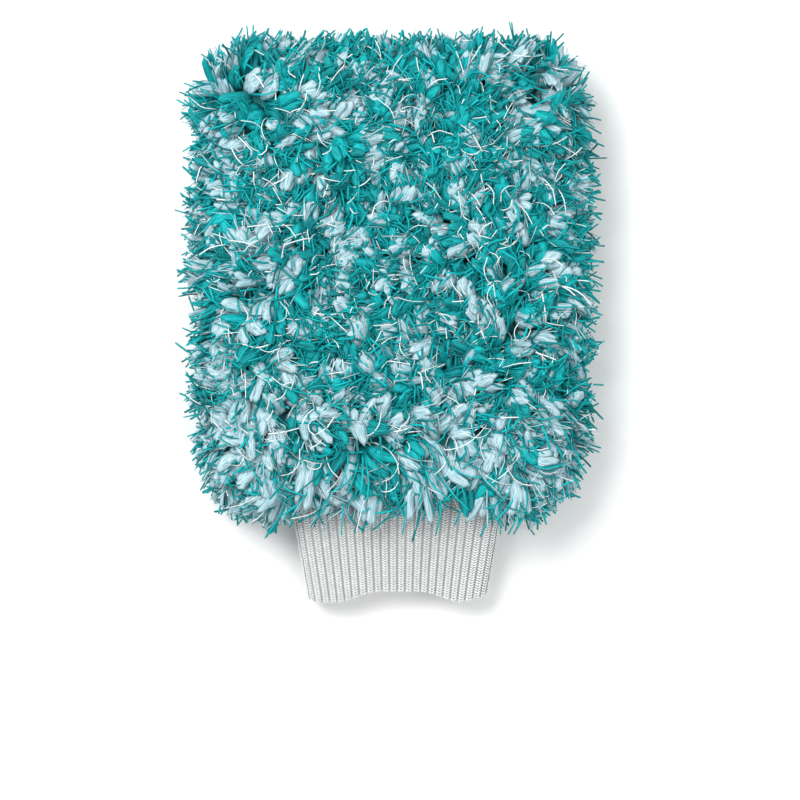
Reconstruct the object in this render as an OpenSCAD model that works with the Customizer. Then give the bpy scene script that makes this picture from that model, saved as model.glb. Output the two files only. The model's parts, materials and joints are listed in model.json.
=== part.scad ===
// Plush wash mitt: a bag of long-pile cloth over foam and a smooth lining, closed by a folded
// rib-knit cuff. It lies flat on its back pile. X is its width, Y runs from the cuff (-Y) to the
// finger end (+Y), and Z is up from the surface. The origin is under the middle of the whole mitt.

/* [Sewn shell, without its pile] */
// Width of the sewn shell
shell_w = 160; // [140:1:200]
// Length of the sewn shell, from the finger end to the shoulders beside the cuff
shell_l = 206; // [170:1:250]
// Corner radius at the finger end
finger_corner_r = 15; // [14:1:40]
// Corner radius at the shoulders
shoulder_corner_r = 30; // [14:1:40]

/* [Plies, from the outside in] */
// Length of the pile on the front, standing free
pile_t = 15; // [8:0.5:20]
// Length of the pile on the back, pressed by the mitt's own weight
pressed_pile_t = 11; // [6:0.5:16]
// Thickness of the knitted base cloth that the pile is tied into
cloth_t = 1.2; // [0.6:0.1:2]
// Thickness of the foam sheet behind each face
foam_t = 3; // [1:0.5:5]
// Thickness of the lining cloth
lining_t = 0.6; // [0.3:0.1:1.2]
// Height of the hand pocket as it lies
pocket_h = 13.8; // [10:0.2:24]
// Free play between one ply and the next
ply_gap = 0.1; // [0.05:0.05:0.3]

/* [Seams] */
// Height of a folded-in seam allowance with its overlock thread
seam_h = 2.4; // [1.2:0.2:4]
// Width of the overlock seam round the mouth, along Y
mouth_seam_w = 2; // [1:0.5:4]

/* [Cuff] */
// Length of the cuff along its slope, from the mouth's fold line to the hem
cuff_l = 60; // [40:1:80]
// Outside width of the cuff where it is sewn on
cuff_root_w = 104; // [90:1:116]
// Outside width of the cuff at its hem
cuff_hem_w = 85; // [70:1:100]
// Outside height of the cuff where it is sewn on
cuff_root_h = 17; // [14:0.5:20]
// Outside height of the cuff at its hem
cuff_hem_h = 14; // [12:0.5:18]
// Thickness of one ply of rib knit
rib_ply_t = 1.1; // [0.8:0.1:1.4]
// Space between the folded cuff's two plies, where the elastic threads lie
cuff_slot = 0.6; // [0.5:0.1:1.2]
// Width and height of one elastic thread
elastic_t = 0.4; // [0.2:0.1:0.4]
// Number of elastic threads round the cuff
elastic_count = 4; // [2:1:6]
// How far the cuff is sewn to the right of the shell's middle
cuff_offset = 3; // [0:0.5:6]
// Angle at which the cuff slopes down to the surface
cuff_droop = 13; // [5:1:16]

/* [Cuff movement] */
// How far the cuff folds up from its slope
flex_up = 45; // [20:1:45]
// How far the cuff folds down from its slope
flex_down = 12; // [0:1:14]
// Length of bare seam between the fold line and the cuff's first course
root_gap = 4; // [3:0.5:6]
// Clearance round the cuff as it moves
move_gap = 1; // [0.5:0.5:2]

/* [Hidden] */
$fn = 64;

// Each ply is a flat face with a quarter-round rim, so every ply is named by its half height: the
// radius of its rim and the height of its face above the plane of the seams.
lining_in = pocket_h / 2;
lining_out = lining_in + lining_t;
foam_in = lining_out + ply_gap;
foam_out = foam_in + foam_t;
cloth_in = foam_out + ply_gap;
cloth_out = cloth_in + cloth_t;
pile_out = cloth_out + pile_t;
seam_z = cloth_out + pressed_pile_t;

// The shell's and the lining's seam allowances share the room beside the foam
seam_w = (cloth_in - lining_out - 3 * ply_gap) / 2;

// The line that the rims are centred on: its half width, its corners and its two ends
line_x = shell_w / 2 - cloth_out;
least_corner = 0.5;
finger_r = max(finger_corner_r - cloth_out, least_corner);
shoulder_r = max(shoulder_corner_r - cloth_out, least_corner);
line_l = shell_l - 2 * cloth_out;

// The cuff turns about the mouth's fold line, which lies on the rims' line at the shoulders
cuff_wall = 2 * rib_ply_t + cuff_slot;
hem_r = cuff_wall / 2;
cuff_reach = (cuff_l - hem_r) * cos(cuff_droop) + (cuff_hem_h / 2 - hem_r) * sin(cuff_droop) + hem_r;
shoulder_y = round((cuff_reach - line_l - pile_out) / 2 * 100) / 100; // whole hundredths, so plies meet
finger_y = shoulder_y + line_l;

// Room for the cuff's first course to swing inside the mouth, then the seam, then the plies' edges
swing_y = cuff_root_h / 2 * sin(flex_up) - root_gap * cos(flex_up);
mouth_seam_y = shoulder_y + max(swing_y, 0) + move_gap;
ply_edge_y = mouth_seam_y + mouth_seam_w + ply_gap;
mouth_w = cuff_root_w + 2 * move_gap;

// Colours
teal = [0.10, 0.58, 0.60];
pale_blue = [0.72, 0.79, 0.82];
base_teal = [0.05, 0.42, 0.45];
foam_white = [0.90, 0.90, 0.86];
lining_white = [0.88, 0.90, 0.90];
thread_grey = [0.70, 0.74, 0.75];
knit_white = [0.92, 0.93, 0.93];

// ---- Shapes that several parts share ----

// A quarter ring in the outward and upward quarter, from the rims' line
module rim_arc(outer, inner) {
    difference() {
        circle(r = outer);
        circle(r = inner);
        translate([-2 * outer, -2 * outer]) square([2 * outer, 4 * outer]);
        translate([-2 * outer, -2 * outer]) square([4 * outer, 2 * outer]);
    }
}

// Runs the profile in children() round the rims' line. The profile's X points outwards, and $flat
// tells it how far inwards the flat face reaches from the rims' line at that place.
module round_the_line() {
    for (side = [0, 1]) mirror([side, 0, 0]) {
        translate([0, finger_y - finger_r, 0]) rotate([90, 0, 0])
            linear_extrude(line_l - finger_r - shoulder_r) let ($flat = line_x) children();
        translate([line_x - finger_r, finger_y - finger_r, 0])
            rotate_extrude(angle = 90) let ($flat = finger_r) children();
        translate([line_x - shoulder_r, shoulder_y + shoulder_r, 0]) rotate([0, 0, -90])
            rotate_extrude(angle = 90) let ($flat = shoulder_r) children();
    }
    translate([finger_r - line_x, finger_y - finger_r, 0]) rotate([90, 0, 90])
        linear_extrude(2 * (line_x - finger_r)) let ($flat = finger_r) children();
    translate([line_x - shoulder_r, shoulder_y + shoulder_r, 0]) rotate([90, 0, -90])
        linear_extrude(2 * (line_x - shoulder_r)) let ($flat = shoulder_r) children();
}

// One half of a ply, with its flat face up
module ply_half(outer, inner) {
    round_the_line() {
        translate([0, inner]) square([$flat, outer - inner]);
        translate([$flat, 0]) rim_arc(outer, inner);
    }
}

// The upper half of a ply as it lies, or the lower one
module front_half() translate([0, 0, seam_z]) children();
module back_half() translate([0, 0, seam_z]) mirror([0, 0, 1]) children();

// The mouth, cut right through the plies inside the pile
module mouth_cut() {
    translate([cuff_offset - mouth_w / 2, shoulder_y - pile_out, seam_z - cloth_out - move_gap])
        cube([mouth_w, ply_edge_y - shoulder_y + pile_out, 2 * (cloth_out + move_gap)]);
}

// The wedge that the cuff sweeps, from its lowest place to its highest
module swing_room() {
    up = flex_up - cuff_droop;
    down = flex_down + cuff_droop;
    up_z = cuff_root_h / 2 / cos(up) + move_gap;
    down_z = cuff_root_h / 2 / cos(down) + move_gap;
    reach = 2 * pile_out;
    translate([cuff_offset + mouth_w / 2, shoulder_y, seam_z]) rotate([90, 0, -90])
        linear_extrude(mouth_w)
            polygon([[0, up_z], [reach, up_z + reach * tan(up)],
                     [reach, -down_z - reach * tan(down)], [0, -down_z]]);
}

// ---- Shell ----

module pile_half() ply_half(pile_out, cloth_out);

module front_pile() {
    color(teal) difference() {
        front_half() pile_half();
        swing_room();
    }
}

module back_pile() {
    color(pale_blue) difference() {
        back_half() pile_half();
        swing_room();
        translate([-shell_w, finger_y - 2 * shell_l, -2 * pile_out])
            cube([2 * shell_w, 4 * shell_l, 2 * pile_out]);
    }
}

module cloth_half() ply_half(cloth_out, cloth_in);

module front_base_cloth() {
    color(base_teal) difference() {
        front_half() cloth_half();
        mouth_cut();
    }
}

module back_base_cloth() {
    color(base_teal) difference() {
        back_half() cloth_half();
        mouth_cut();
    }
}

// The foam stops at the rims' line, so that the seams have room beside it
module foam_sheet() {
    difference() {
        round_the_line() translate([0, foam_in]) square([$flat, foam_t]);
        translate([-shell_w, ply_edge_y - shell_l, 0]) cube([2 * shell_w, shell_l, 2 * foam_out]);
    }
}

module front_foam() color(foam_white) front_half() foam_sheet();
module back_foam() color(foam_white) back_half() foam_sheet();

module lining_half() ply_half(lining_out, lining_in);

module front_lining() {
    color(lining_white) difference() {
        front_half() lining_half();
        mouth_cut();
    }
}

module back_lining() {
    color(lining_white) difference() {
        back_half() lining_half();
        mouth_cut();
    }
}

// ---- Seams ----

// A folded-in allowance that runs round the bag from one side of the mouth to the other, with its
// outer edge the given distance from the rims' line
module seam_band(outer) {
    difference() {
        front_half() round_the_line()
            translate([$flat + outer - seam_w, -seam_h / 2]) square([seam_w, seam_h]);
        mouth_cut();
    }
}

module shell_seam() color(thread_grey) seam_band(cloth_in - ply_gap);
module lining_seam() color(thread_grey) seam_band(lining_out + ply_gap + seam_w);

// The overlock seam that joins the shell, the lining and the cuff all round the mouth
module mouth_seam() {
    end_x = mouth_w / 2 - cloth_out - ply_gap;
    bar_h = cloth_out - lining_in;
    color(thread_grey)
        translate([cuff_offset, mouth_seam_y + mouth_seam_w, seam_z]) rotate([90, 0, 0])
            for (side = [0, 1]) mirror([side, 0, 0]) {
                translate([0, lining_in, 0]) cube([end_x, bar_h, mouth_seam_w]);
                translate([0, -cloth_out, 0]) cube([end_x, bar_h, mouth_seam_w]);
                translate([end_x, 0, 0]) rotate([0, 0, -90])
                    rotate_extrude(angle = 180) translate([lining_in, 0])
                        square([bar_h, mouth_seam_w]);
            }
}

// ---- Cuff ----

// The cuff lies flat as a tube with round sides. s is the distance down its slope from the fold
// line, and depth is measured inwards from its outer face.
end_steps = 12;
function along(s) = (s - root_gap) / (cuff_l - root_gap);
function half_h(s) = (cuff_root_h + (cuff_hem_h - cuff_root_h) * along(s)) / 2;
function half_w(s) = (cuff_root_w + (cuff_hem_w - cuff_root_w) * along(s)) / 2;
function loop_at(s, depth) = [
    for (side = [1, -1], i = [0 : end_steps])
        let (turn = i * 180 / end_steps - 90 * side, r = half_h(s) - depth)
        [side * (half_w(s) - half_h(s)) + r * cos(turn), -s, r * sin(turn)]
];

// Sweeps a closed section, given as [s, depth] points, round the tube
module tube_section(section) {
    loops = [for (p = section) loop_at(p[0], p[1])];
    rows = len(loops);
    cols = len(loops[0]);
    translate([cuff_offset, shoulder_y, seam_z]) rotate([cuff_droop, 0, 0])
        polyhedron(
            points = [for (row = loops, p = row) p],
            faces = [for (r = [0 : rows - 1], c = [0 : cols - 1])
                let (r2 = (r + 1) % rows, c2 = (c + 1) % cols)
                [r * cols + c, r * cols + c2, r2 * cols + c2, r2 * cols + c]],
            convexity = 8);
}

hem_steps = 6;
slot_end = cuff_l - 2 * cuff_wall;
cuff_section = concat(
    [[root_gap, rib_ply_t], [root_gap, 0]],
    [for (i = [0 : hem_steps])
        let (turn = i * 180 / hem_steps)
        [cuff_l - hem_r + hem_r * sin(turn), hem_r - hem_r * cos(turn)]],
    [[root_gap, cuff_wall], [root_gap, cuff_wall - rib_ply_t],
     [slot_end, cuff_wall - rib_ply_t], [slot_end, rib_ply_t]]
);

module cuff() color(knit_white) tube_section(cuff_section);

module cuff_elastic() {
    pitch = (slot_end - root_gap) / (elastic_count + 1);
    near = (cuff_wall - elastic_t) / 2;
    color(thread_grey) for (i = [1 : elastic_count]) {
        s = root_gap + i * pitch;
        tube_section([[s, near + elastic_t], [s, near], [s + elastic_t, near],
                      [s + elastic_t, near + elastic_t]]);
    }
}

front_pile();
back_pile();
front_base_cloth();
back_base_cloth();
front_foam();
back_foam();
front_lining();
back_lining();
shell_seam();
lining_seam();
mouth_seam();
cuff();
cuff_elastic();
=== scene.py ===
import json
import math
import bpy
import numpy as np
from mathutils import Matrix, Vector


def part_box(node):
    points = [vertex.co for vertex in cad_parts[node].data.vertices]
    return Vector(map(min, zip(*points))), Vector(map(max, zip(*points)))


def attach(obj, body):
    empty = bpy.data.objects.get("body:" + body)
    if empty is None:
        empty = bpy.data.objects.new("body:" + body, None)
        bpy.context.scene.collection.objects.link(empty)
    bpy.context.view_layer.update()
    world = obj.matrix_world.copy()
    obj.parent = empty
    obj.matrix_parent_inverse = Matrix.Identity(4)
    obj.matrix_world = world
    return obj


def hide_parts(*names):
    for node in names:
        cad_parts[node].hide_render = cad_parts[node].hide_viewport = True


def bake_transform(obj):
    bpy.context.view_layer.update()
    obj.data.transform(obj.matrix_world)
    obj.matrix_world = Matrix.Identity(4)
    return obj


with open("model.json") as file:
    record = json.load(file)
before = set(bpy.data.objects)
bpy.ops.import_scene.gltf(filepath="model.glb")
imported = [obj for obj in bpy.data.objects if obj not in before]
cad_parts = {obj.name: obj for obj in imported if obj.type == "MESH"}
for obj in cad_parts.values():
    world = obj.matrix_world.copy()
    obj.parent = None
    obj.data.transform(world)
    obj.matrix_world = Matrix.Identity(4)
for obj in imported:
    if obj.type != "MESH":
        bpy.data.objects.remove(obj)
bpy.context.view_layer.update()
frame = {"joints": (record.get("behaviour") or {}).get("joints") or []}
bpy.ops.object.select_all(action="DESELECT")

mm = 0.001
hinge = Vector(frame["joints"][0]["pos_m"])
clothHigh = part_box("front_base_cloth")[1]
skinR = clothHigh.z - hinge.z          # half thickness of the sewn shell, and the radius of its rim
lineX = clothHigh.x - skinR            # the line that every ply's rim is rolled round
fingerY = clothHigh.y - skinR
shoulderY = hinge.y
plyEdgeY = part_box("front_foam")[0].y   # where the plies stop at the mouth
mouthX = hinge.x
shell = {"fingerCorner": 3.1 * mm, "shoulderCorner": 18.1 * mm, "mouthHalf": 53 * mm}


class Sock:  # a node's output that takes part in sums
    def __init__(self, shader, out):
        self.shader = shader
        self.out = out

    def math(self, operation, first, second):
        return self.shader.node("Math", {"operation": operation}, {0: first, 1: second})

    def __add__(self, other):
        return self.math("ADD", self, other)

    def __radd__(self, other):
        return self.math("ADD", other, self)

    def __mul__(self, other):
        return self.math("MULTIPLY", self, other)

    def __rmul__(self, other):
        return self.math("MULTIPLY", other, self)


class Shader:  # one procedural material, built a node at a time
    def __init__(self, name, **fixed):
        self.material = bpy.data.materials.new(name)
        self.material.use_nodes = True
        self.tree = self.material.node_tree
        self.skin = self.tree.nodes["Principled BSDF"]
        for socket, value in fixed.items():
            self.skin.inputs[socket.replace("_", " ")].default_value = value

    def node(self, kind, settings=None, sockets=None, out=0):
        made = self.tree.nodes.new("ShaderNode" + kind)
        for name, value in (settings or {}).items():
            if name == "stops":
                ramp = made.color_ramp.elements
                while len(ramp) < len(value):
                    ramp.new(1)
                for stop, (place, colour) in zip(ramp, value):
                    stop.position = place
                    stop.color = (*colour, 1)
            else:
                setattr(made, name, value)
        for name, value in (sockets or {}).items():
            self.put(made.inputs[name], value)
        return Sock(self, made.outputs[out])

    def put(self, socket, value):
        if isinstance(value, Sock):
            self.tree.links.new(value.out, socket)
        elif value is not None:
            socket.default_value = value

    def mix(self, factor, first, second):
        sockets = {"Factor": factor, 6: first, 7: second}
        return self.node("Mix", {"data_type": "RGBA"}, sockets, out=2)

    def bump(self, height, distance, strength=1.0):
        return self.node("Bump", None, {"Height": height, "Distance": distance, "Strength": strength})

    def finish(self, **links):
        for socket, value in links.items():
            self.put(self.skin.inputs[socket.replace("_", " ")], value)
        return self.material


# The streaks' dark colour is partly the fibres' own tone and partly painted shade between fine fibres.
grain = {  # the fine streaks that run along a strand
    "along": 5.0, "across": 130.0, "edge": (0.34, 0.62), "dark": (0.32, 0.5, 0.56),
    # rootShade: where the painted shade near a strand's root gives way to its lit tints
    "depth": 0.25 * mm, "relief": 0.7, "rootShade": (0.05, 0.5),
}


def fibre(name, look):  # u runs from root to tip, v picks the tint
    shader = Shader(name, Roughness=look["roughness"], Specular_IOR_Level=0.25)
    place = shader.node("UVMap", {"uv_map": "OFBake"})
    u = shader.node("SeparateXYZ", None, {0: place}, out=0)
    v = shader.node("SeparateXYZ", None, {0: place}, out=1)
    last = len(look["tints"]) - 1
    stops = [(i / last, tint) for i, tint in enumerate(look["tints"])]
    tint = shader.node("ValToRGB", {"stops": stops}, {0: v})
    long = shader.node("CombineXYZ", None, {0: u * grain["along"], 1: v * grain["across"]})
    streak = shader.node("TexNoise", {"noise_dimensions": "2D"},
                         {"Vector": long, "Scale": 1.0, "Detail": 2.0}, out=0)
    low, high = grain["edge"]
    sharp = shader.node("MapRange", {"interpolation_type": "SMOOTHSTEP"}, {0: streak, 1: low, 2: high})
    # The streaks' dark colour, partly own tone and partly painted shade in the grooves between fine fibres.
    dark = [look["streaks"] * c + (1 - look["streaks"]) for c in grain["dark"]]
    shade = shader.mix(sharp, (*dark, 1), (1, 1, 1, 1))
    streaky = shader.node("Mix", {"data_type": "RGBA", "blend_type": "MULTIPLY"},
                          {"Factor": 1.0, 6: tint, 7: shade}, out=2)
    # Painted shade: towards the root the colour is mixed into the darker root colour.
    low, high = grain["rootShade"]
    lit = shader.node("MapRange", {"interpolation_type": "SMOOTHSTEP"}, {0: u, 1: low, 2: high})
    colour = shader.mix(lit, (*look["root"], 1), streaky)
    relief = shader.bump(streak, grain["depth"], grain["relief"] * look["streaks"])
    return shader.finish(Base_Color=colour, Normal=relief)


# Each look's root colour is painted shade that fibre() mixes in near the root.
paleFibre = fibre("pale_fibre", {
    "root": (0.22, 0.44, 0.48), "roughness": 0.75, "streaks": 0.75,
    "tints": [(0.36, 0.56, 0.61), (0.44, 0.63, 0.68), (0.53, 0.70, 0.74), (0.49, 0.67, 0.72),
              (0.62, 0.75, 0.79)],
})
tealFibre = fibre("teal_fibre", {
    "root": (0.0, 0.15, 0.17), "roughness": 0.65, "streaks": 0.85,
    "tints": [(0.0, 0.18, 0.20), (0.0, 0.28, 0.29), (0.0, 0.39, 0.39), (0.0, 0.49, 0.50), (0.0, 0.60, 0.63)],
})
looseFibre = fibre("loose_fibre", {
    "root": (0.80, 0.90, 0.90), "roughness": 0.5, "streaks": 0.0,
    "tints": [(0.88, 0.95, 0.95), (0.95, 0.98, 0.98), (0.98, 0.99, 0.99)],
})


def clothMaterial(name, dark, light, pitch, depth, roughness):  # a fine knit on object coordinates
    shader = Shader(name, Roughness=roughness, Sheen_Weight=0.2)
    place = shader.node("TexCoord", out=3)
    scale = 0.314 / pitch   # at scale 1 a band comes round every 0.314
    rows = shader.node("TexWave", {"wave_type": "BANDS", "bands_direction": "Y"},
                       {0: place, "Scale": scale, "Distortion": 1.5, "Detail Scale": 2.0}, out=1)
    wales = shader.node("TexWave", {"wave_type": "BANDS", "bands_direction": "X"},
                        {0: place, "Scale": scale, "Distortion": 1.0}, out=1)
    mottle = shader.node("TexNoise", None, {0: place, "Scale": 90.0, "Detail": 3.0}, out=0)
    knit = rows * wales
    colour = shader.mix(knit * 0.7 + mottle * 0.3, (*dark, 1), (*light, 1))
    return shader.finish(Base_Color=colour, Normal=shader.bump(knit, depth))


def makeMesh(name, points, quads, tris, material, uv=None):  # uv holds one pair for each face corner
    mesh = bpy.data.meshes.new(name)
    corners = np.concatenate([quads.ravel(), tris.ravel()]).astype(np.int32)
    sizes = np.concatenate([np.full(len(quads), 4), np.full(len(tris), 3)]).astype(np.int32)
    mesh.vertices.add(len(points))
    mesh.vertices.foreach_set("co", points.astype(np.float32).ravel())
    mesh.loops.add(len(corners))
    mesh.loops.foreach_set("vertex_index", corners)
    mesh.polygons.add(len(sizes))
    mesh.polygons.foreach_set("loop_start", (np.cumsum(sizes) - sizes).astype(np.int32))
    mesh.polygons.foreach_set("use_smooth", np.ones(len(sizes), bool))
    if uv is not None:
        layer = mesh.uv_layers.new(name="OFBake")
        layer.data.foreach_set("uv", uv.astype(np.float32).ravel())
    mesh.update(calc_edges=True)
    mesh.materials.append(material)
    made = bpy.data.objects.new(name, mesh)
    bpy.context.scene.collection.objects.link(made)
    return made


def unit(vectors):
    return vectors / np.maximum(np.linalg.norm(vectors, axis=-1, keepdims=True), 1e-9)


def step(value, low, high):  # 0 below low, 1 above high, and smooth between
    t = np.clip((value - low) / (high - low), 0, 1)
    return t * t * (3 - 2 * t)


def repeated(faces, count, pointsEach):  # the faces of one strand or stitch, once for each of them
    base = (np.arange(count) * pointsEach)[:, None, None]
    faces = base + np.array(faces)[None]
    return faces.reshape(-1, faces.shape[-1])


def cornerUv(patterns, place):  # place turns the face corners of one strand into u and v of them all
    uv = []
    for pattern in patterns:
        u, v = place(np.array(pattern, float))
        uv.append(np.stack([np.broadcast_to(u, v.shape), v], -1).reshape(-1, 2))
    return np.concatenate(uv)


# Every strand is a closed three-sided tube: its rings run from a capped root to a point at the tip.
def strandPiece(name, paths, radii, across, tints, material):
    count, rings = paths.shape[:2]
    sides = 3
    blunt = 0.75        # how near the tip the last ring stands
    tintWidth = 0.008   # how much of the tint's scale a side takes
    along = unit(np.gradient(paths, axis=1))
    side = unit(across[:, None] - along * (across[:, None] * along).sum(-1, keepdims=True))
    other = np.cross(along, side)
    turns = np.arange(sides) * 2 * np.pi / sides
    spin = turns[None, None, :, None] + (tints * 40)[:, None, None, None]   # each turned its own way
    ring = side[:, :, None] * np.cos(spin) + other[:, :, None] * np.sin(spin)
    ends = paths.copy()
    ends[:, -2] += (paths[:, -1] - paths[:, -2]) * blunt
    body = ends[:, :-1, None] + ring[:, :-1] * radii[:, :-1, None, None]
    tip = paths[:, -1]
    points = np.concatenate([body.reshape(count, -1, 3), tip[:, None]], 1)
    each = points.shape[1]
    quads, tris, quadUv, triUv = [], [], [], []
    for r in range(rings - 2):
        here, there = r * sides, (r + 1) * sides
        for j in range(sides):
            k = (j + 1) % sides
            quads.append([here + j, here + k, there + k, there + j])
            quadUv.append([(r, j), (r, k), (r + 1, k), (r + 1, j)])
    last = (rings - 2) * sides
    for j in range(sides):
        k = (j + 1) % sides
        tris.append([last + j, last + k, each - 1])
        triUv.append([(rings - 2, j), (rings - 2, k), (rings - 1, 1)])
    tris.append([0, 2, 1])
    triUv.append([(0, 0), (0, 2), (0.3, 1)])

    def place(corner):
        u = 0.02 + 0.96 * corner[..., 0] / (rings - 1)
        v = 0.03 + 0.94 * tints[:, None, None] + tintWidth * (corner[None, ..., 1] - 1)
        return u, v

    return makeMesh(name, points.reshape(-1, 3), repeated(quads, count, each), repeated(tris, count, each),
                    material, cornerUv((quadUv, triUv), place))


# Where a point of the unrolled face lies: beyond the rim's line the cloth rolls over the rim.
def onShell(x, y, radius, front):
    upper = y > (fingerY + shoulderY) / 2
    corner = np.where(upper, shell["fingerCorner"], shell["shoulderCorner"])
    middleX = np.sign(x) * (lineX - corner)
    middleY = np.where(upper, fingerY - corner, shoulderY + corner)
    awayX = x - middleX
    awayY = y - middleY
    inCorner = (np.abs(x) > lineX - corner) & np.where(upper, awayY > 0, awayY < 0)
    reach = np.hypot(awayX, awayY)
    overSide = np.abs(x) - lineX
    overEnd = np.where(upper, y - fingerY, shoulderY - y)
    past = np.where(inCorner, reach - corner, np.maximum(overSide, overEnd))
    sideways = overSide > overEnd
    outX = np.where(inCorner, awayX / np.maximum(reach, 1e-9), np.where(sideways, np.sign(x), 0))
    endwards = np.where(sideways, 0, np.where(upper, 1, -1))
    outY = np.where(inCorner, awayY / np.maximum(reach, 1e-9), endwards)
    rolled = np.clip(past, 0, None)
    turn = rolled / radius
    push = radius * np.sin(turn) - rolled
    up = 1 if front else -1
    points = np.stack([x + outX * push, y + outY * push, hinge.z + up * radius * np.cos(turn)], -1)
    normals = np.stack([outX * np.sin(turn), outY * np.sin(turn), up * np.cos(turn)], -1)
    out = np.stack([outX, outY, np.zeros_like(outX)], -1)
    return points, normals, out, past
def isMouth(x, y):  # where the plies are cut away for the mouth
    return (np.abs(x - mouthX) < shell["mouthHalf"]) & (y < plyEdgeY)


cuff = {
    "rootW": 104 * mm, "hemW": 85 * mm, "rootH": 17 * mm, "hemH": 14 * mm,
    "root": 4 * mm, "length": 60 * mm, "wall": 2.8 * mm, "droop": math.radians(13),
    "ribs": 52, "sewnAt": -3.4 * mm,   # the knit runs on past the fold line to the mouth's seam
    "hemWave": 5.2 * mm, "hemCorner": 2.6 * mm, "hemSink": 0.9 * mm,
}


def cuffHalf(s):
    t = (s - cuff["root"]) / (cuff["length"] - cuff["root"])
    halfW = (cuff["rootW"] + (cuff["hemW"] - cuff["rootW"]) * t) / 2
    halfH = (cuff["rootH"] + (cuff["hemH"] - cuff["rootH"]) * t) / 2
    return halfW, halfH


# u goes once round the tube from its right side over the front, s down its slope, depth inwards
def cuffPoint(u, s, depth):
    halfW, halfH = cuffHalf(s)
    flat = halfW - halfH
    quarter = np.pi * halfH / 2
    girth = 4 * (quarter + flat)
    a = (u % 1) * girth
    mirrorX = (a > quarter + flat) & (a < 3 * (quarter + flat))
    under = a > girth / 2
    b = np.where(under, girth - a, a)
    b = np.where(b > girth / 4, girth / 2 - b, b)
    turn = np.clip(b / halfH, 0, np.pi / 2)
    x = flat + halfH * np.cos(turn) - np.clip(b - quarter, 0, None)
    z = halfH * np.sin(turn)
    nx = np.cos(turn)
    nz = np.sin(turn)
    signX = np.where(mirrorX, -1, 1)
    signZ = np.where(under, -1, 1)
    x = signX * (x - nx * depth)
    z = signZ * (z - nz * depth)
    middle = 1 - np.clip(np.abs(x) / halfW, 0, 1) ** 2
    z = z - cuff["hemSink"] * middle * step(s, 20 * mm, 58 * mm)   # the hem's middle sinks a little
    c, d = math.cos(cuff["droop"]), math.sin(cuff["droop"])
    return np.stack([mouthX + x, shoulderY - s * c - z * d, hinge.z - s * d + z * c], -1)


def hemAt(u):  # the hem dips at both sides and rises in the middle
    x = cuffPoint(u, np.full_like(u, cuff["length"]), 0)[..., 0] - mouthX
    rel = x / (cuff["hemW"] / 2)   # -1 at the left side, 1 at the right
    middle = 1 - step(np.abs(rel - 0.02), 0.22, 0.72)
    corner = step(rel, 0.68, 1.0)
    return cuff["length"] - cuff["hemWave"] * middle - cuff["hemCorner"] * corner


# q runs down the outer ply, round the fold and up the inner ply; rise stands proud of the cloth
def cuffSheet(u, q, rise):
    fold = cuff["wall"] / 2
    foldL = np.pi * fold
    start = cuff["sewnAt"]
    outer = hemAt(u) - fold - start
    turn = np.clip((q - outer) / foldL, 0, 1) * np.pi
    s = start + np.minimum(q, outer) + (fold + rise) * np.sin(turn)
    s = s - np.clip(q - outer - foldL, 0, None)
    depth = fold - (fold + rise) * np.cos(turn)
    return cuffPoint(u, s, depth)


pile = {
    "seed": 5, "pitch": 5.2 * mm, "backPitch": 1.12, "rowsCloser": 0.87, "jitter": 0.42,
    "length": (15.5 * mm, 21 * mm), "mouthLonger": 0.8, "lowShorter": 0.16,
    "lockHalfW": 2.2 * mm, "lockHalfT": 0.95 * mm, "lockSides": 8, "ridge": 0.17, "uneven": 0.12,
    "paleR": 0.34 * mm, "tealR": 0.56 * mm, "threadR": 0.28 * mm,
    "threads": 0.55, "backThreads": 0.25,   # share of tufts with a loose thread, and the back's part of it
    "floor": 0.4 * mm, "floorSoft": 2.6 * mm, "overCuff": 1.2 * mm, "besideCuff": 1.5 * mm,
    "mostFaces": 190000,   # triangles in one piece
}
lie = {  # how the tufts lean over, and in degrees from upright how they bend from root to tip
    "swirls": (2.2, 1.8), "swirlNoise": 0.7, "leanNoise": 0.2, "outward": 0.8, "mouthward": 2.0,
    "root": (5, 32), "tip": (78, 118), "rimTip": (20, 80), "mouthTip": (90, 112), "backTip": (82, 100),
    "backPressed": 22, "side": 0.14, "bend": 0.8,
    "teal": 0.6, "tealLessLeft": 0.26, "tealLessLow": 0.44,   # share of tufts that are teal
}
rng = np.random.default_rng(pile["seed"])


def tuftRoots(front):
    pitch = pile["pitch"] * (1 if front else pile["backPitch"])
    roll = np.pi / 2 * skinR
    xs = np.arange(-lineX - roll, lineX + roll, pitch)
    ys = np.arange(shoulderY - roll, fingerY + roll, pitch * pile["rowsCloser"])
    x, y = np.meshgrid(xs, ys)
    x = x + (np.arange(len(ys)) % 2)[:, None] * pitch / 2
    x = (x + rng.uniform(-pile["jitter"], pile["jitter"], x.shape) * pitch).ravel()
    y = (y + rng.uniform(-pile["jitter"], pile["jitter"], y.shape) * pitch).ravel()
    points, normals, out, past = onShell(x, y, skinR, front)
    keep = (past < roll) & ~isMouth(x, y)
    return [v[keep] for v in (x, y, points, normals, out, past)]


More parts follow.
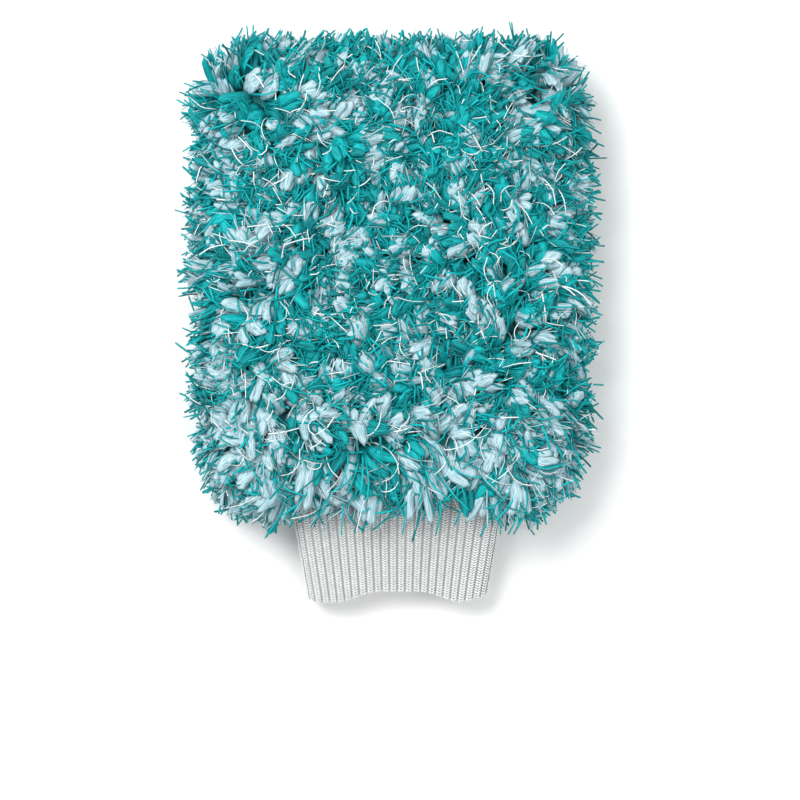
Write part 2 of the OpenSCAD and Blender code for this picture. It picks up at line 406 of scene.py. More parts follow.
def tuftField(front):
    x, y, points, normals, out, past = tuftRoots(front)
    n = len(x)
    edge = step(past, -34 * mm, 6 * mm)
    onRim = step(past, 0, skinR * 1.4)
    one, two = lie["swirls"]
    swirl = one * np.sin(x / (27 * mm) + 0.9) + two * np.cos(y / (23 * mm) - x / (43 * mm))
    swirl = swirl + rng.normal(0, lie["swirlNoise"], n)
    lean = out * (lie["outward"] * edge)[:, None]
    lean = lean + np.stack([np.cos(swirl), np.sin(swirl), np.zeros(n)], -1) * (1.0 - 0.3 * edge)[:, None]
    lean = lean + rng.normal(0, lie["leanNoise"], (n, 3))
    low = step(-y, 30 * mm, 70 * mm)
    lean[:, 0] *= 1 - 0.5 * low
    beside = np.clip(np.abs(x - mouthX) - 50 * mm, 0, None)
    nearMouth = step(-np.hypot(beside, y - plyEdgeY), -15 * mm, -3 * mm)
    lean = lean + np.array([0, -lie["mouthward"], 0]) * nearMouth[:, None]
    lean = unit(lean - normals * (lean * normals).sum(-1, keepdims=True))
    length = rng.uniform(*pile["length"], n) * (1 - pile["lowShorter"] * low * edge)
    first = np.radians(rng.uniform(*lie["root"], n)) + 0.85 * nearMouth
    last = np.radians(rng.uniform(*lie["tip"], n) * (1 - onRim) + rng.uniform(*lie["rimTip"], n) * onRim)
    last = last * (1 - nearMouth) + np.radians(rng.uniform(*lie["mouthTip"], n)) * nearMouth
    if not front:
        first = first + np.radians(lie["backPressed"])
        last = np.maximum(last, np.radians(rng.uniform(*lie["backTip"], n) * (1 - onRim)))
    length = length * (1 + pile["mouthLonger"] * nearMouth)
    tealShare = lie["teal"] - lie["tealLessLeft"] * step(-x, 20 * mm, 60 * mm) * edge
    tealShare = tealShare - lie["tealLessLow"] * step(-y, 25 * mm, 60 * mm)
    return {
        "root": points, "normal": normals, "lean": lean, "across": np.cross(normals, lean),
        "length": length, "first": first, "last": last,
        "side": rng.normal(0, lie["side"], n), "bend": rng.normal(0, lie["bend"], n),
        "tint": rng.uniform(0, 1, n), "isTeal": rng.uniform(0, 1, n) < tealShare,
        "mouth": nearMouth > 0.02, "y": y,
    }


# Strands of one kind for the chosen tufts, each with its own noise; the kinds dictionary gives the values.
def growStrands(tufts, chosen, each, spread, radius, reach, frizz, lift, stray, bend, rings, apart):
    pick = np.repeat(np.flatnonzero(chosen), each)
    n = len(pick)
    s = np.linspace(0, 1, rings)[None]
    w = spread(n, each)
    first = tufts["first"][pick] + rng.normal(0, 0.12, n) * apart
    last = tufts["last"][pick] + rng.normal(0, 0.22, n) * apart
    length = tufts["length"][pick] * reach * rng.uniform(0.8, 1.1, n)
    angle = first[:, None] + (last - first)[:, None] * s ** 0.85
    turn = tufts["bend"][pick][:, None] + rng.normal(0, bend, (n, 1))
    veer = (rng.normal(0, stray, (n, 1)) + turn * s)[..., None]
    lean = tufts["lean"][pick][:, None] * np.cos(veer) + tufts["across"][pick][:, None] * np.sin(veer)
    across = tufts["across"][pick][:, None] * np.cos(veer) - tufts["lean"][pick][:, None] * np.sin(veer)
    go = lean * np.sin(angle)[..., None]
    go = go + tufts["normal"][pick][:, None] * np.cos(angle)[..., None]
    stepL = (length / (rings - 1))[:, None, None]
    run = np.concatenate([np.zeros((n, 1, 3)), np.cumsum((go[:, 1:] + go[:, :-1]) / 2 * stepL, axis=1)], 1)
    upward = np.cross(go, across)
    upward = upward * np.sign((upward * tufts["normal"][pick][:, None]).sum(-1, keepdims=True) + 1e-9)
    wide = np.interp(s[0], [0, 0.3, 0.6, 0.85, 1], [1.2, 2.8, 3.5, 3.2, 2.4])[None] * mm
    dome = (1 - w ** 2)[:, None] * wide * 0.35 + (lift * rng.uniform(0.4, 1.2, (n, 1))) * s
    sweep = tufts["side"][pick][:, None] * length[:, None] * s ** 2
    wave = rng.uniform(0, 6.3, (n, 2, 1))
    speed = rng.uniform(1.6, 4.2, (n, 2, 1))
    curl = (np.sin(wave + speed * s[None]) - np.sin(wave)) * s[None]
    curl = curl * rng.uniform(0.3, 1.0, (n, 2, 1)) * frizz
    lateral = w[:, None] * wide + sweep + curl[:, 0]
    path = tufts["root"][pick][:, None] + run + across * lateral[..., None]
    path = path + upward * (dome + curl[:, 1] * 0.7)[..., None]
    thick = np.interp(s[0], [0, 0.3, 0.9, 1], [0.8, 1.0, 0.92, 0.8])[None]
    thick = thick * rng.uniform(0.75, 1.25, (n, 1)) * radius
    tint = np.clip(tufts["tint"][pick] * (1 - apart) + rng.uniform(0, 1, n) * apart, 0, 1)
    return {"path": path, "radius": np.broadcast_to(thick, (n, rings)), "across": across.mean(1),
            "tint": tint, "pick": pick}


def sideBySide(n, each):
    return np.tile(np.linspace(-0.62, 0.62, each), n // each) + rng.normal(0, 0.1, n)


def flanking(n, each):
    sides = np.tile(np.where(np.arange(each) % 2 == 0, 1.0, -1.0), n // each)
    return sides * rng.uniform(0.7, 1.35, n)


def scattered(n, each):
    return rng.uniform(-1.1, 1.1, n)


# each: strands in a tuft. spread: their places across it. reach: length beside the tuft's. frizz: waviness.
# lift: how far the tip rises. stray, bend: noise in the direction. apart: 0 as the tuft lies, 1 its own way.
kinds = {
    "lock": {"spread": sideBySide, "radius": 0, "reach": 0.96, "frizz": 0.9 * mm, "lift": 0,
             "stray": 0.06, "bend": 0.15, "rings": 7, "apart": 0.35},
    "paleStray": {"each": 3, "spread": scattered, "radius": pile["paleR"], "reach": 1.02, "frizz": 0.6 * mm,
                  "lift": 0.5 * mm, "stray": 0.12, "bend": 0.4, "rings": 7, "apart": 0.7},
    "edging": {"each": 3, "spread": flanking, "radius": pile["tealR"], "reach": 1.12, "frizz": 1.3 * mm,
               "lift": 0.9 * mm, "stray": 0.15, "bend": 0.7, "rings": 9, "apart": 0.7},
    "crossing": {"each": 1, "spread": scattered, "radius": pile["tealR"], "reach": 1.06, "frizz": 1.3 * mm,
                 "lift": 1.2 * mm, "stray": 0.5, "bend": 1.3, "rings": 9, "apart": 1.0},
    "tealStray": {"each": 4, "spread": scattered, "radius": pile["tealR"], "reach": 1.1, "frizz": 1.3 * mm,
                  "lift": 0.9 * mm, "stray": 0.25, "bend": 0.9, "rings": 9, "apart": 0.8},
    "thread": {"each": 1, "spread": scattered, "radius": pile["threadR"], "reach": 1.1, "frizz": 1.4 * mm,
               "lift": 1.6 * mm, "stray": 0.9, "bend": 2.4, "rings": 11, "apart": 1.0},
}
locksEach = {"pale": 3, "teal": 2}   # locks in a tuft


# A lock is a soft flat bundle of fibres too fine to part: a closed tapered tongue with a rounded tip.
def lockPiece(name, strands, part, material):
    paths = strands["path"][part]
    tints = strands["tint"][part]
    n, rings = paths.shape[:2]
    sides = pile["lockSides"]
    blunt = 0.35
    along = unit(np.gradient(paths, axis=1))
    across = strands["across"][part][:, None]
    side = unit(across - along * (across * along).sum(-1, keepdims=True))
    other = np.cross(along, side)
    turn = np.arange(sides) * 2 * np.pi / sides
    swell = np.interp(np.linspace(0, 1, rings), [0, 0.2, 0.4, 0.67, 0.84, 1], [0.5, 0.8, 1.0, 1.0, 0.75, 0])
    ridges = 1 + pile["ridge"] * np.where(np.arange(sides) % 2 == 0, 1, -1)[:, None]
    ridges = ridges + rng.normal(0, pile["uneven"], (n, 1, sides, 1))
    lump = ridges * rng.normal(1, pile["uneven"], (n, rings, 1, 1))
    lump = lump * (0.7 + 0.55 * tints)[:, None, None, None]
    width = side[:, :, None] * np.cos(turn)[None, None, :, None] * pile["lockHalfW"]
    height = other[:, :, None] * np.sin(turn)[None, None, :, None] * pile["lockHalfT"]
    ends = paths.copy()
    ends[:, -2] += (paths[:, -1] - paths[:, -2]) * blunt
    body = ends[:, :, None] + (width + height) * swell[None, :, None, None] * lump
    points = np.concatenate([body[:, :-1].reshape(n, -1, 3), paths[:, -1:]], 1)
    each = points.shape[1]
    quads, tris, quadUv, triUv = [], [], [], []
    for r in range(rings - 2):
        here, there = r * sides, (r + 1) * sides
        for j in range(sides):
            k = (j + 1) % sides
            quads.append([here + j, here + k, there + k, there + j])
            quadUv.append([(r, j), (r, j + 1), (r + 1, j + 1), (r + 1, j)])
    last = (rings - 2) * sides
    for j in range(sides):
        tris.append([last + j, last + (j + 1) % sides, each - 1])
        triUv.append([(rings - 2, j), (rings - 2, j + 1), (rings - 1, j + 0.5)])
    for j in range(1, sides - 1):
        tris.append([0, j + 1, j])
        triUv.append([(0, 0), (0, j + 1), (0, j)])

    def place(corner):
        u = 0.02 + 0.96 * corner[..., 0] / (rings - 1)
        v = 0.02 + 0.8 * tints[:, None, None] + 0.16 * corner[None, ..., 1] / sides
        return u, v

    return makeMesh(name, points.reshape(-1, 3), repeated(quads, n, each), repeated(tris, n, each),
                    material, cornerUv((quadUv, triUv), place))


# Fibres rest on the floor and lie over the cuff instead of going through them.
def settle(strands, front):
    path = strands["path"]
    x, y, z = path[..., 0], path[..., 1], path[..., 2]
    s = np.clip((shoulderY - y) / math.cos(cuff["droop"]), 0, cuff["length"])
    halfW, halfH = cuffHalf(s)
    middle = hinge.z - s * math.sin(cuff["droop"])
    off = np.abs(x - mouthX)
    inside = (y < shoulderY + 3 * mm) & (off < halfW + pile["besideCuff"])
    overSide = np.clip((off - halfW + halfH) / (halfH + pile["besideCuff"]), 0, 1)
    rounding = halfH * np.sqrt(np.clip(1 - overSide ** 2, 0, 1))
    room = rounding + pile["overCuff"] + strands["tint"][:, None] * 2 * mm
    clear = np.maximum(z, middle + room) if front else np.minimum(z, middle - room)
    z = np.where(inside, clear, z)
    low = pile["floor"] + strands["tint"][:, None] * 1.2 * mm
    soft = pile["floorSoft"]
    z = np.where(z < low + soft, low + soft * np.exp(np.clip((z - low - soft) / soft, -9, 0)), z)
    path[..., 2] = z


def coverHalf(front):
    tufts = tuftField(front)
    teal = tufts["isTeal"]
    threadShare = pile["threads"] * (1 if front else pile["backThreads"])
    threaded = rng.uniform(0, 1, len(teal)) < threadShare
    sets = {
        "pale_locks": [growStrands(tufts, ~teal, each=locksEach["pale"], **kinds["lock"])],
        "teal_locks": [growStrands(tufts, teal, each=locksEach["teal"], **kinds["lock"])],
        "pale_strands": [growStrands(tufts, ~teal, **kinds["paleStray"])],
        "teal_strands": [growStrands(tufts, ~teal, **kinds["edging"]),
                         growStrands(tufts, ~teal, **kinds["crossing"]),
                         growStrands(tufts, teal, **kinds["tealStray"])],
        "loose_threads": [growStrands(tufts, threaded, **kinds["thread"])],
    }
    materials = {"pale": paleFibre, "teal": tealFibre, "loose": looseFibre}
    where = "front" if front else "back"
    for kind, parts in sets.items():
        strands = {key: np.concatenate([part[key] for part in parts]) for key in parts[0]}
        settle(strands, front)
        atMouth = tufts["mouth"][strands["pick"]]
        place = tufts["y"][strands["pick"]]
        material = materials[kind.split("_")[0]]
        rest = np.flatnonzero(~atMouth)
        rest = rest[np.argsort(place[rest], kind="stable")]
        isLock = kind.endswith("locks")
        sides = pile["lockSides"] if isLock else 3
        strips = max(1, math.ceil(len(rest) * sides * 2 * strands["path"].shape[1] / pile["mostFaces"]))
        for i, part in enumerate(np.array_split(rest, strips)):
            putPile(f"{where}_{kind}_{i + 1}", strands, part, material, where, False, isLock)
        putPile(f"{where}_{kind}_mouth", strands, np.flatnonzero(atMouth), material, where, True, isLock)

def putPile(name, strands, part, material, where, atMouth, isLock):
    if isLock:
        made = lockPiece(name, strands, part, material)
    else:
        made = strandPiece(name, strands["path"][part], strands["radius"][part], strands["across"][part],
                           strands["tint"][part], material)
    if atMouth:
        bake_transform(made)
    else:
        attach(made, "mitt")
    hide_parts(where + "_pile")


coverHalf(True)
coverHalf(False)
print("pile grown")


def shadedRibGroundMaterial():
    shader = Shader("shaded_rib_ground", Roughness=0.85, Sheen_Weight=0.15)
    place = shader.node("TexCoord", out=3)
    grain = shader.node("TexNoise", None, {0: place, "Scale": 1500.0, "Detail": 2.0}, out=0)
    # Painted shade: both greys sit below the stitches' yarn to darken the grooves; the fine noise between
    # them is the knit's own grain.
    colour = shader.mix(grain, (0.40, 0.41, 0.41, 1), (0.62, 0.63, 0.63, 1))
    return shader.finish(Base_Color=colour, Normal=shader.bump(grain, 0.1 * mm))


shadedRibGround = shadedRibGroundMaterial()
# Its root colour is painted shade: knitLegs maps the sides and ends of each stitch leg to it and the tops to
# the lit tints.
ribYarn = fibre("rib_yarn", {
    "root": (0.30, 0.31, 0.31), "roughness": 0.5, "streaks": 0.0,
    "tints": [(0.80, 0.81, 0.80), (0.84, 0.86, 0.85), (0.88, 0.90, 0.89), (0.92, 0.93, 0.92),
              (0.97, 0.98, 0.97)],
})
ground = {"ply": 1.05 * mm, "groove": 0.17, "outer": 0.6 * mm, "inner": 0.45 * mm}   # groove in rib widths


# The knit under the stitches, with a groove between ribs, in a grey darker than the yarn as painted shade;
# it turns back inside as the tube's second surface.
def ribGroundPiece():
    across = cuff["ribs"] * 6
    fold = cuff["wall"] / 2
    ply = ground["ply"]
    start = cuff["sewnAt"]
    u = np.arange(across) / across
    phase = (u * cuff["ribs"]) % 1
    groove = 1 - step(np.minimum(phase, 1 - phase), 0.0, ground["groove"])
    rows = []
    total = hemAt(u) - fold - start
    for t in np.linspace(0, 1, 26):
        rows.append(cuffSheet(u, total * t, -0.25 * mm - ground["outer"] * groove))
    for t in np.linspace(0, 1, 7)[1:]:
        rows.append(cuffSheet(u, total + np.pi * fold * t, -0.2 * mm - ground["inner"] * groove))
    for t in np.linspace(1, 0, 14)[1:]:
        q = total + np.pi * fold + total * (1 - t)
        rows.append(cuffSheet(u, q, -0.25 * mm - ground["inner"] * groove))
    end = hemAt(u) - 2.2 * fold
    top = np.full_like(u, start)
    inner = 2 * fold - ply
    for s, depth in ((top, inner), (end * 0.5, inner), (end, fold), (end * 0.5, ply), (top, ply)):
        rows.append(cuffPoint(u, s, np.full_like(u, depth)))
    grid = np.stack(rows)
    n = len(rows)
    r, c = np.meshgrid(np.arange(n), np.arange(across), indexing="ij")
    r2, c2 = (r + 1) % n, (c + 1) % across
    quads = np.stack([r * across + c, r2 * across + c, r2 * across + c2, r * across + c2], -1).reshape(-1, 4)
    return makeMesh("cuff_rib_ground", grid.reshape(-1, 3), quads, np.zeros((0, 3), int), shadedRibGround)


stitch = {
    "pitch": 1.27 * mm, "first": 0.6 * mm, "halfLeg": 0.66 * mm, "uneven": 0.05,
    "lean": 0.235, "apart": 0.205,   # in widths of a rib
    "across": 0.27 * mm, "down": 0.36 * mm, "plump": 0.42 * mm, "arch": 0.1 * mm, "rise": 0.02 * mm,
}


# Each knit stitch shows as a V of two plump yarn legs; a leg is a closed spindle of a few faces.
def knitLegs():
    pitch = stitch["pitch"]
    fold = cuff["wall"] / 2
    rib = (np.arange(cuff["ribs"]) + 0.5) / cuff["ribs"]
    u, side = [a.ravel() for a in np.meshgrid(rib, [-1.0, 1.0], indexing="ij")]
    outer = hemAt(u) - fold - cuff["sewnAt"]
    rowsOut = int((cuff["length"] - cuff["sewnAt"]) / pitch) + 7
    q = outer[:, None] + np.pi * fold - (np.arange(rowsOut)[None] - 3) * pitch   # three rows run up inside
    u = np.broadcast_to(u[:, None], q.shape)
    side = np.broadcast_to(side[:, None], q.shape)
    keep = q > stitch["first"]
    u, side, q = u[keep], side[keep], q[keep]
    n = len(u)
    halfW, halfH = cuffHalf(np.clip(cuff["sewnAt"] + q, None, cuff["length"]))
    girth = 4 * (halfW - halfH) + 2 * np.pi * halfH
    ribW = girth / cuff["ribs"]
    t = np.array([-1, -0.45, 0.25, 0.8, 1.0])
    swell = np.array([0, 0.92, 1.0, 0.6, 0])
    sides = 5
    turn = np.arange(sides) * 2 * np.pi / sides
    wobble = rng.normal(0, stitch["uneven"], (n, 3))
    legL = stitch["halfLeg"] * (1 + wobble[:, 0])
    points = []
    for i, here in enumerate(t):
        ringTurns = turn if 0 < i < len(t) - 1 else turn[:1]
        for a in ringTurns:
            lateral = side * (ribW * stitch["apart"] - ribW * stitch["lean"] * here)
            lateral = lateral + swell[i] * math.cos(a) * side * stitch["across"]
            down = here * legL + swell[i] * math.cos(a) * stitch["down"]
            rise = stitch["rise"] + swell[i] * math.sin(a) * stitch["plump"]
            rise = rise + wobble[:, 1] * mm + stitch["arch"] * (1 - here ** 2)
            points.append(cuffSheet(u + lateral / girth, q + down, rise))
    points = np.stack(points, 1)
    each = points.shape[1]
    quads, tris, quadUv, triUv = [], [], [], []
    for r in range(len(t) - 3):
        low, high = 0.3 + 0.3 * r, 0.6 + 0.3 * r
        for j in range(sides):
            k = (j + 1) % sides
            a, b = 1 + r * sides, 1 + (r + 1) * sides
            quads.append([a + j, a + k, b + k, b + j])
            quadUv.append([(low, j), (low, j + 1), (high, j + 1), (high, j)])
    last = 1 + (len(t) - 3) * sides
    for j in range(sides):
        k = (j + 1) % sides
        tris.append([0, 1 + k, 1 + j])
        triUv.append([(0, j + 0.5), (0.3, j + 1), (0.3, j)])
        tris.append([each - 1, last + j, last + k])
        triUv.append([(1, j + 0.5), (0.9, j), (0.9, j + 1)])
    tint = rng.uniform(0, 1, n)

    def place(corner):  # the top of a leg is lit, its sides go down into the shade
        up = np.clip(np.sin(corner[..., 1] * 2 * np.pi / sides), 0, 1)
        first = 0.04 + 0.9 * (0.1 * corner[..., 0] + 0.7 * up)
        second = 0.03 + 0.92 * tint[:, None, None] + 0.01 * (corner[None, ..., 1] / sides)
        return first, second

    return makeMesh("cuff_knit_stitches", points.reshape(-1, 3), repeated(quads, n, each),
                    repeated(tris, n, each), ribYarn, cornerUv((quadUv, triUv), place))


def rideCuff(made):
    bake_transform(made)
    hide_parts("cuff")


rideCuff(ribGroundPiece())
rideCuff(knitLegs())
print("cuff knitted")


baseKnit = clothMaterial("base_knit", dark=(0.0, 0.10, 0.11), light=(0.01, 0.25, 0.26),
                         pitch=1.1 * mm, depth=0.25 * mm, roughness=0.9)
liningKnit = clothMaterial("lining_knit", dark=(0.50, 0.53, 0.54), light=(0.78, 0.80, 0.81),
                           pitch=0.7 * mm, depth=0.08 * mm, roughness=0.7)
threadTwist = clothMaterial("thread_twist", dark=(0.36, 0.39, 0.40), light=(0.62, 0.65, 0.66),
                            pitch=0.45 * mm, depth=0.1 * mm, roughness=0.6)
elasticCover = clothMaterial("elastic_cover", dark=(0.55, 0.55, 0.53), light=(0.80, 0.80, 0.78),
                             pitch=0.3 * mm, depth=0.05 * mm, roughness=0.6)


def foamMaterial():
    shader = Shader("open_cell_foam", Roughness=0.95)
    place = shader.node("TexCoord", out=3)
    cells = shader.node("TexVoronoi", None, {0: place, "Scale": 1400.0}, out=0)
    mottle = shader.node("TexNoise", None, {0: place, "Scale": 60.0, "Detail": 3.0}, out=0)
    colour = shader.mix(cells * 0.8 + mottle * 0.25, (0.50, 0.48, 0.40, 1), (0.80, 0.79, 0.72, 1))
    return shader.finish(Base_Color=colour, Normal=shader.bump(cells, 0.3 * mm))


# The outline of the unrolled ply at one distance past the rim's line, once round from the mouth's middle
def plyOutline(past):
    cornerPoints, endPoints, sidePoints = 9, 25, 60
    halfX = lineX + past
    low, high = shoulderY - past, fingerY + past
    shoulder = max(0, shell["shoulderCorner"] + past)
    finger = max(0, shell["fingerCorner"] + past)
    turn = np.linspace(0, np.pi / 2, cornerPoints)[:-1]
    t = np.linspace(0, 1, endPoints)
    x = np.concatenate([(halfX - shoulder) * t[:-1], halfX - shoulder + shoulder * np.sin(turn),
                        np.full(sidePoints, halfX), halfX - finger + finger * np.cos(turn),
                        (halfX - finger) * t[::-1]])
    y = np.concatenate([np.full(endPoints - 1, low), low + shoulder - shoulder * np.cos(turn),
                        np.linspace(low + shoulder, high - finger, sidePoints, endpoint=False),
                        high - finger + finger * np.sin(turn), np.full(endPoints, high)])
    return np.concatenate([x, -x[-2:0:-1]]), np.concatenate([y, y[-2:0:-1]])


plies = {
    "backing": {"radius": skinR, "thick": 1.2 * mm, "creases": 0},
    "lining": {"radius": 7.5 * mm, "thick": 0.6 * mm, "creases": 0.4 * mm},
}

def plySheet(name, node, ply, material):
    front = node.startswith("front")
    radius = ply["radius"]
    roll = np.pi / 2 * radius
    inward = plyEdgeY - shoulderY
    pasts = np.concatenate([np.linspace(roll, 0, 9), -np.linspace(0, inward, 3)[1:],
                            -np.linspace(inward, lineX, 26)[1:]])
    outlines = [plyOutline(past) for past in pasts]
    x = np.stack([o[0] for o in outlines])
    y = np.stack([o[1] for o in outlines])
    points, normals, out, past = onShell(x, y, radius, front)
    crease = np.sin(x / (9 * mm) + 1.6 * np.sin(y / (23 * mm))) * np.sin(y / (31 * mm) + x / (40 * mm))
    points = points - normals * (ply["creases"] * (0.5 + 0.5 * crease) * step(-past, 0, 20 * mm))[..., None]
    rows, columns = x.shape
    r, c = np.meshgrid(np.arange(rows - 1), np.arange(columns), indexing="ij")
    r, c = r.ravel(), c.ravel()
    c2 = (c + 1) % columns
    keep = ~isMouth((x[r, c] + x[r + 1, c2]) / 2, (y[r, c] + y[r + 1, c2]) / 2)
    here, there = r * columns, (r + 1) * columns
    quads = np.stack([here + c, here + c2, there + c2, there + c], -1)[keep]
    if not front:
        quads = quads[:, ::-1]
    made = makeMesh(name, points.reshape(-1, 3), quads, np.zeros((0, 3), int), material)
    select(made)
    bpy.ops.object.mode_set(mode="EDIT")
    bpy.ops.mesh.select_all(action="SELECT")
    bpy.ops.mesh.remove_doubles(threshold=0.02 * mm)
    bpy.ops.mesh.delete_loose()
    bpy.ops.object.mode_set(mode="OBJECT")
    bpy.ops.object.modifier_add(type="SOLIDIFY")
    made.modifiers[-1].thickness = ply["thick"]
    made.modifiers[-1].offset = -1
    bpy.ops.object.modifier_apply(modifier=made.modifiers[-1].name)
    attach(made, "mitt")
    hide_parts(node)
    cut = (2 * (lineX + roll), fingerY - shoulderY + 2 * roll)
    0.96 * cut[0] * cut[1]


def select(made):
    bpy.ops.object.select_all(action="DESELECT")
    made.select_set(True)
    bpy.context.view_layer.objects.active = made


def pickEdges(made, wanted):
    bpy.ops.object.mode_set(mode="EDIT")
    bpy.ops.mesh.select_all(action="DESELECT")
    bpy.ops.object.mode_set(mode="OBJECT")
    verts = made.data.vertices
    for edge in made.data.edges:
        a, b = (verts[i].co for i in edge.vertices)
        edge.select = bool(wanted(a, b))
    bpy.ops.object.mode_set(mode="EDIT")
    bpy.ops.mesh.select_mode(type="EDGE")


foam = {"fingerCorner": 3 * mm, "shoulderCorner": 9 * mm, "edge": 0.7 * mm}


def foamSlab(where, material):
    low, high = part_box(where + "_foam")
    bpy.ops.mesh.primitive_cube_add(size=1, location=(low + high) / 2)
    slab = bpy.context.active_object
    slab.name = where + "_foam_slab"
    slab.scale = high - low
    bpy.ops.object.transform_apply(location=True, rotation=False, scale=True)
    middle = (low.y + high.y) / 2
    for upper, corner in ((True, foam["fingerCorner"]), (False, foam["shoulderCorner"])):
        pickEdges(slab, lambda a, b: (abs(a.z - b.z) > mm and abs(a.y - b.y) < 0.1 * mm
                                      and (a.y > middle) == upper))
        bpy.ops.mesh.bevel(offset=corner, segments=5, affect="EDGES")
        bpy.ops.object.mode_set(mode="OBJECT")
    pickEdges(slab, lambda a, b: abs(a.z - b.z) < 0.1 * mm)
    bpy.ops.mesh.bevel(offset=foam["edge"], segments=3, affect="EDGES")
    bpy.ops.object.mode_set(mode="OBJECT")
    bpy.ops.object.shade_smooth_by_angle(angle=math.radians(40))
    slab.data.materials.append(material)
    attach(slab, "mitt")
    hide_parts(where + "_foam")


foamCells = foamMaterial()
for where in ("front", "back"):
    foamSlab(where, foamCells)
    plySheet(where + "_knit_backing", where + "_base_cloth", plies["backing"], baseKnit)
    plySheet(where + "_pocket_lining", where + "_lining", plies["lining"], liningKnit)
print("plies laid")


seams = {
    "stitch": 2.4 * mm, "thread": 0.22 * mm, "perLoop": 8,
    "shellAway": 9.87 * mm, "liningAway": 8.32 * mm,   # how far past the rim's line each band's middle is
    "rimHalfOut": 0.72 * mm, "rimHalfAcross": 1.2 * mm, "mouthInner": 6.9 * mm, "mouthOuter": 11.9 * mm,
}


# An overlocked seam: thread runs round and round the folded edge
def overlock(name, line, out, halfOut, halfAcross, closed, material):
    if closed:
        line = np.concatenate([line, line[:1]])
        out = np.concatenate([out, out[:1]])
    walked = np.concatenate([[0], np.cumsum(np.linalg.norm(np.diff(line, axis=0), axis=1))])
    loops = int(walked[-1] / seams["stitch"])
    at = np.linspace(0, walked[-1], loops * seams["perLoop"], endpoint=not closed)
    here = np.stack([np.interp(at, walked, line[:, i]) for i in range(3)], -1)
    outward = unit(np.stack([np.interp(at, walked, out[:, i]) for i in range(3)], -1))
    along = unit(np.gradient(here, axis=0))
    cross = np.cross(along, outward)
    turn = np.arange(len(at)) * 2 * np.pi / seams["perLoop"]
    reach = halfOut - 0.5 * seams["thread"]
    points = here + outward * (np.cos(turn) * reach)[:, None]
    points = points + cross * (np.sin(turn) * (halfAcross - 0.5 * seams["thread"]))[:, None]
    return threadAlong(name, points, seams["thread"], closed, material)


def threadAlong(name, points, radius, closed, material):
    curve = bpy.data.curves.new(name, "CURVE")
    curve.dimensions = "3D"
    curve.bevel_depth = radius
    curve.bevel_resolution = 1
    curve.use_fill_caps = True
    spline = curve.splines.new("POLY")
    spline.points.add(len(points) - 1)
    spline.points.foreach_set("co", np.concatenate([points, np.ones((len(points), 1))], 1).ravel())
    spline.use_cyclic_u = closed
    made = bpy.data.objects.new(name, curve)
    bpy.context.scene.collection.objects.link(made)
    select(made)
    bpy.ops.object.convert(target="MESH")
    made = bpy.context.active_object
    made.data.materials.append(material)
    bpy.ops.object.shade_smooth()
    return made


def rimSeam(node, away):
    x, y = plyOutline(away)
    mouth = isMouth(x, y)
    start = np.flatnonzero(mouth & ~np.roll(mouth, -1))[0] + 1
    x, y, mouth = (np.roll(v, -start) for v in (x, y, mouth))
    x, y = x[~mouth], y[~mouth]
    tangent = unit(np.stack([np.gradient(x), np.gradient(y)], -1))
    line = np.stack([x, y, np.full_like(x, hinge.z)], -1)
    out = np.stack([tangent[:, 1], -tangent[:, 0], x * 0], -1)
    made = overlock(node + "_thread", line, out, seams["rimHalfOut"], seams["rimHalfAcross"],
                    False, threadTwist)
    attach(made, "mitt")


def mouthSeam():
    low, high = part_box("mouth_seam")
    inner, outer = seams["mouthInner"], seams["mouthOuter"]
    middle = (inner + outer) / 2
    endX = (high.x - low.x) / 2 - outer
    turn = np.linspace(-np.pi / 2, np.pi / 2, 16)
    outX = np.concatenate([np.cos(turn), -np.cos(turn)])
    outZ = np.concatenate([np.sin(turn), -np.sin(turn)])
    x = np.concatenate([endX + middle * np.cos(turn), -endX - middle * np.cos(turn)])
    y = np.full_like(x, (low.y + high.y) / 2)
    line = np.stack([mouthX + x, y, hinge.z + middle * outZ], -1)
    out = np.stack([outX, np.zeros_like(x), outZ], -1)
    made = overlock("mouth_seam_thread", line, out, (outer - inner) / 2, (high.y - low.y) / 2,
                    True, threadTwist)
    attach(made, "mitt")


elastic = {"threads": 4, "radius": 0.19 * mm, "ripple": 0.12 * mm, "ripples": 37, "points": 160}


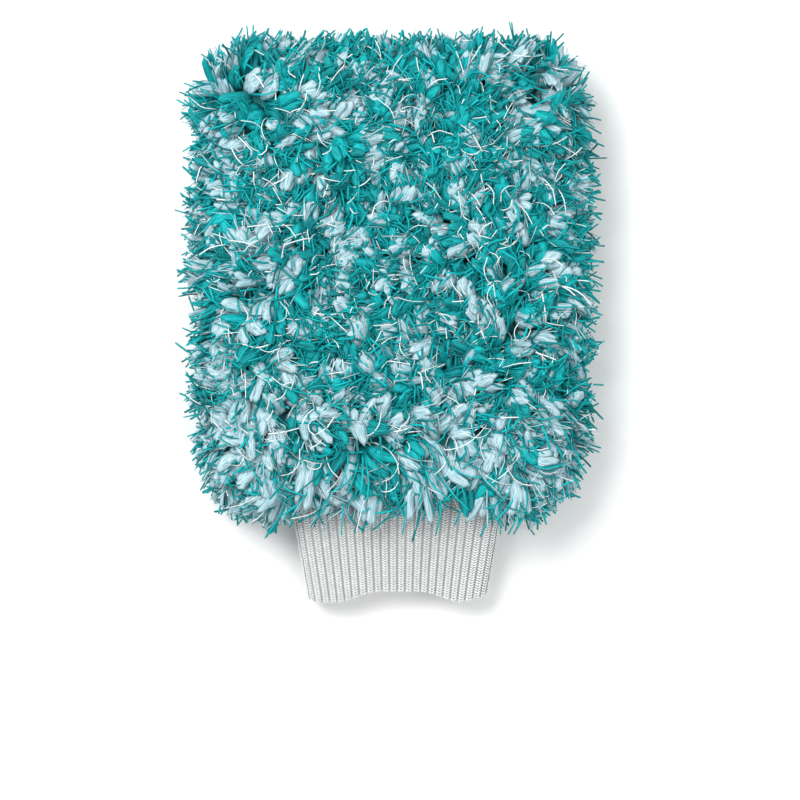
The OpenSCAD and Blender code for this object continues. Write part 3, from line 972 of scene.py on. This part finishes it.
def elasticThreads():
    loops = []
    slotEnd = cuff["length"] - 2 * cuff["wall"]
    count = elastic["threads"]
    u = np.linspace(0, 1, elastic["points"], endpoint=False)
    for i in range(1, count + 1):
        s = cuff["root"] + i * (slotEnd - cuff["root"]) / (count + 1)
        wave = elastic["ripple"] * np.sin(u * 2 * np.pi * elastic["ripples"] + i)
        ring = cuffPoint(u, s + wave, np.full_like(u, cuff["wall"] / 2))
        loops.append(threadAlong(f"elastic_{i}", ring, elastic["radius"], True, elasticCover))
    select(loops[0])
    for loop in loops:
        loop.select_set(True)
    bpy.ops.object.join()
    made = bpy.context.active_object
    made.name = "cuff_elastic_threads"
    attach(made, "cuff")
    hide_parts("cuff_elastic")


rimSeam("shell_seam", seams["shellAway"])
rimSeam("lining_seam", seams["liningAway"])
mouthSeam()
elasticThreads()
for node in ("shell_seam", "lining_seam", "mouth_seam"):
    band = bpy.data.objects[node]
    band.data.materials.clear()
    band.data.materials.append(threadTwist)
print("seams sewn")


studio = {  # a lamp has a name, place, size and power; the camera looks straight down
    "paper": (0.92, 0.92, 0.91), "sky": (0.97, 0.98, 1.0), "skyPower": 0.62,
    "lamps": [("key", (-0.55, 0.5, 1.1), 0.7, 15.0), ("fill", (0.7, -0.3, 1.2), 0.9, 6.0)],
    "aim": (4.3 * mm, -37.6 * mm, 30 * mm), "above": 2.0, "viewW": 380.8 * mm, "sensor": 36,
}


def stageAndLight():
    bpy.ops.mesh.primitive_plane_add(size=6, location=(0, 0, 0))
    floor = bpy.context.active_object
    floor.name = "floor"
    bpy.ops.object.transform_apply()
    paper = Shader("floor_paper", Roughness=0.9)
    floor.data.materials.append(paper.finish(Base_Color=(*studio["paper"], 1)))
    world = bpy.data.worlds.new("studio")
    world.use_nodes = True
    sky = world.node_tree.nodes["Background"]
    sky.inputs[0].default_value = (*studio["sky"], 1)
    sky.inputs[1].default_value = studio["skyPower"]
    bpy.context.scene.world = world
    for name, place, size, power in studio["lamps"]:
        bpy.ops.object.light_add(type="AREA", location=place)
        lamp = bpy.context.active_object
        lamp.name = name
        lamp.data.size = size
        lamp.data.energy = power
        lamp.rotation_euler = (-Vector(place)).to_track_quat("-Z", "Y").to_euler()


def placeCamera():
    aim = Vector(studio["aim"])
    above = studio["above"]
    bpy.ops.object.camera_add(location=(aim.x, aim.y, aim.z + above), rotation=(0, 0, 0))
    camera = bpy.context.active_object
    camera.data.sensor_width = studio["sensor"]
    camera.data.lens = studio["sensor"] * above / studio["viewW"]
    bpy.context.scene.camera = camera


stageAndLight()
placeCamera()
bpy.context.scene.view_settings.view_transform = "Standard"
print("stage set")
